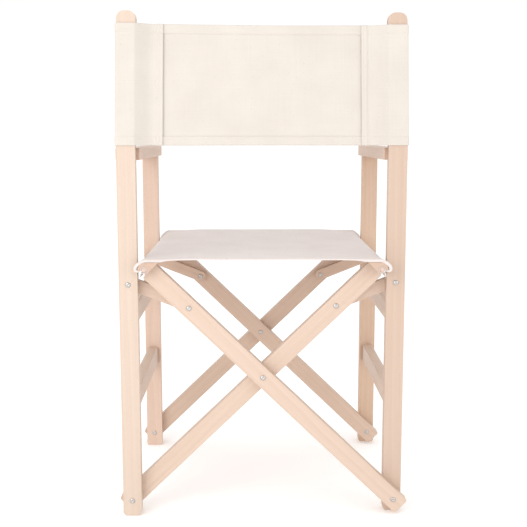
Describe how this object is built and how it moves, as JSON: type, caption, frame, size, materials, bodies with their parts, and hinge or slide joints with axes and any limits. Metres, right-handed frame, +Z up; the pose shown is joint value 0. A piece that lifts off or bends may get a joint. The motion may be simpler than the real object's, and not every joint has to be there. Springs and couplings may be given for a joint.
{
  "type": "folding chair",
  "caption": "Folding chair with wooden side frames, armrests, crossed legs pivoting under seat rails, short links, and loose canvas seat and back.",
  "frame": {"origin": "on the floor, under the middle of the chair's box", "axes": "+Z up, +Y from the rear posts towards the front posts, +X towards the right-hand side frame as seen from behind"},
  "size_m": [0.5022, 0.451, 0.86],
  "materials": {
    "beech_wood": "pale beech, planed and clear matt lacquered",
    "seat_canvas": "undyed ecru cotton canvas, plain weave",
    "back_canvas": "undyed ecru cotton canvas, plain weave, double-stitched",
    "rivet_steel": "zinc-plated domed heads"
  },
  "bodies": {
    "left_side": {"post_left_rear": "beech_wood", "post_left_front": "beech_wood", "stretcher_left_lower": "beech_wood", "stretcher_left_upper": "beech_wood", "armrest_left": "beech_wood", "armrest_peg_left_rear": "beech_wood", "armrest_peg_left_front": "beech_wood", "back_sleeve_left": "back_canvas", "foot_rivet_left_rear": "rivet_steel", "foot_rivet_left_front": "rivet_steel", "link_rivet_left_rear": "rivet_steel", "link_rivet_left_front": "rivet_steel"},
    "left_cross_frame": {"cross_leg_left_rear": "beech_wood", "cross_leg_left_front": "beech_wood", "seat_rail_left": "beech_wood", "seat_rod_left": "beech_wood", "seat_hem_left": "seat_canvas", "rail_pin_left_rear": "beech_wood", "rail_pin_left_front": "beech_wood", "leg_screw_left_rear": "rivet_steel", "leg_screw_left_front": "rivet_steel"},
    "right_side": {"post_right_rear": "beech_wood", "post_right_front": "beech_wood", "stretcher_right_lower": "beech_wood", "stretcher_right_upper": "beech_wood", "armrest_right": "beech_wood", "armrest_peg_right_rear": "beech_wood", "armrest_peg_right_front": "beech_wood", "back_sleeve_right": "back_canvas", "foot_rivet_right_rear": "rivet_steel", "foot_rivet_right_front": "rivet_steel", "link_rivet_right_rear": "rivet_steel", "link_rivet_right_front": "rivet_steel"},
    "right_cross_frame": {"cross_leg_right_rear": "beech_wood", "cross_leg_right_front": "beech_wood", "seat_rail_right": "beech_wood", "seat_rod_right": "beech_wood", "seat_hem_right": "seat_canvas", "rail_pin_right_rear": "beech_wood", "rail_pin_right_front": "beech_wood", "leg_screw_right_rear": "rivet_steel", "leg_screw_right_front": "rivet_steel", "cross_rivet_rear": "rivet_steel", "cross_rivet_front": "rivet_steel"},
    "link_left_rear": {"link_left_rear": "beech_wood", "link_nut_left_rear": "rivet_steel"},
    "link_left_front": {"link_left_front": "beech_wood", "link_nut_left_front": "rivet_steel"},
    "link_right_rear": {"link_right_rear": "beech_wood", "link_nut_right_rear": "rivet_steel"},
    "link_right_front": {"link_right_front": "beech_wood", "link_nut_right_front": "rivet_steel"},
    "seat_left": {"seat_panel_left": "seat_canvas"},
    "back_left": {"back_panel_left": "back_canvas"},
    "seat_right": {"seat_panel_right": "seat_canvas"},
    "back_right": {"back_panel_right": "back_canvas"}
  },
  "joints": [
    {"name": "fold", "type": "hinge", "parent": "left_side", "child": "right_cross_frame", "pos_m": [-0.228, 0, 0.027], "axis": [0, -1, 0], "range_deg": [0, 31.44]},
    {"name": "cross_pivot", "type": "hinge", "parent": "right_cross_frame", "child": "left_cross_frame", "pos_m": [0, 0, 0.247], "axis": [0, 1, 0], "range_deg": [0, 68]},
    {"name": "right_foot_pivot", "type": "hinge", "parent": "left_cross_frame", "child": "right_side", "pos_m": [0.228, 0, 0.027], "axis": [0, -1, 0], "range_deg": [0, 31.44]},
    {"name": "link_left_rear_pivot", "type": "hinge", "parent": "left_side", "child": "link_left_rear", "pos_m": [-0.228, -0.179, 0.409], "axis": [0, -1, 0], "range_deg": [0, 84]},
    {"name": "link_left_front_pivot", "type": "hinge", "parent": "left_side", "child": "link_left_front", "pos_m": [-0.228, 0.16, 0.409], "axis": [0, -1, 0], "range_deg": [0, 84]},
    {"name": "link_right_rear_pivot", "type": "hinge", "parent": "right_side", "child": "link_right_rear", "pos_m": [0.228, -0.16, 0.409], "axis": [0, 1, 0], "range_deg": [0, 84]},
    {"name": "link_right_front_pivot", "type": "hinge", "parent": "right_side", "child": "link_right_front", "pos_m": [0.228, 0.179, 0.409], "axis": [0, 1, 0], "range_deg": [0, 84]},
    {"name": "seat_left_fold", "type": "hinge", "parent": "left_cross_frame", "child": "seat_left", "pos_m": [-0.172, 0, 0.4505], "axis": [0, 1, 0], "range_deg": [0, 46.8], "deforming": ["seat_panel_left"]},
    {"name": "seat_right_fold", "type": "hinge", "parent": "right_cross_frame", "child": "seat_right", "pos_m": [0.172, 0, 0.4505], "axis": [0, -1, 0], "range_deg": [0, 46.8], "deforming": ["seat_panel_right"]},
    {"name": "back_left_fold", "type": "hinge", "parent": "left_side", "child": "back_left", "pos_m": [-0.209, -0.184, 0.7415], "axis": [0, 0.0431, 0.9991], "range_deg": [0, 72.1], "deforming": ["back_panel_left"]},
    {"name": "back_right_fold", "type": "hinge", "parent": "right_side", "child": "back_right", "pos_m": [0.209, -0.165, 0.7415], "axis": [0, -0.0538, -0.9985], "range_deg": [0, 63.6], "deforming": ["back_panel_right"]}
  ],
  "couplings": [
    {"joint": "cross_pivot", "follows": "fold", "ratio": 2.1627},
    {"joint": "right_foot_pivot", "follows": "fold", "ratio": 1},
    {"joint": "link_left_rear_pivot", "follows": "fold", "ratio": 2.6706},
    {"joint": "link_left_front_pivot", "follows": "fold", "ratio": 2.6706},
    {"joint": "link_right_rear_pivot", "follows": "fold", "ratio": 2.6706},
    {"joint": "link_right_front_pivot", "follows": "fold", "ratio": 2.6706},
    {"joint": "seat_left_fold", "follows": "fold", "ratio": 1.4871},
    {"joint": "seat_right_fold", "follows": "fold", "ratio": 1.4871},
    {"joint": "back_left_fold", "follows": "fold", "ratio": 2.2907},
    {"joint": "back_right_fold", "follows": "fold", "ratio": 2.0204}
  ]
}
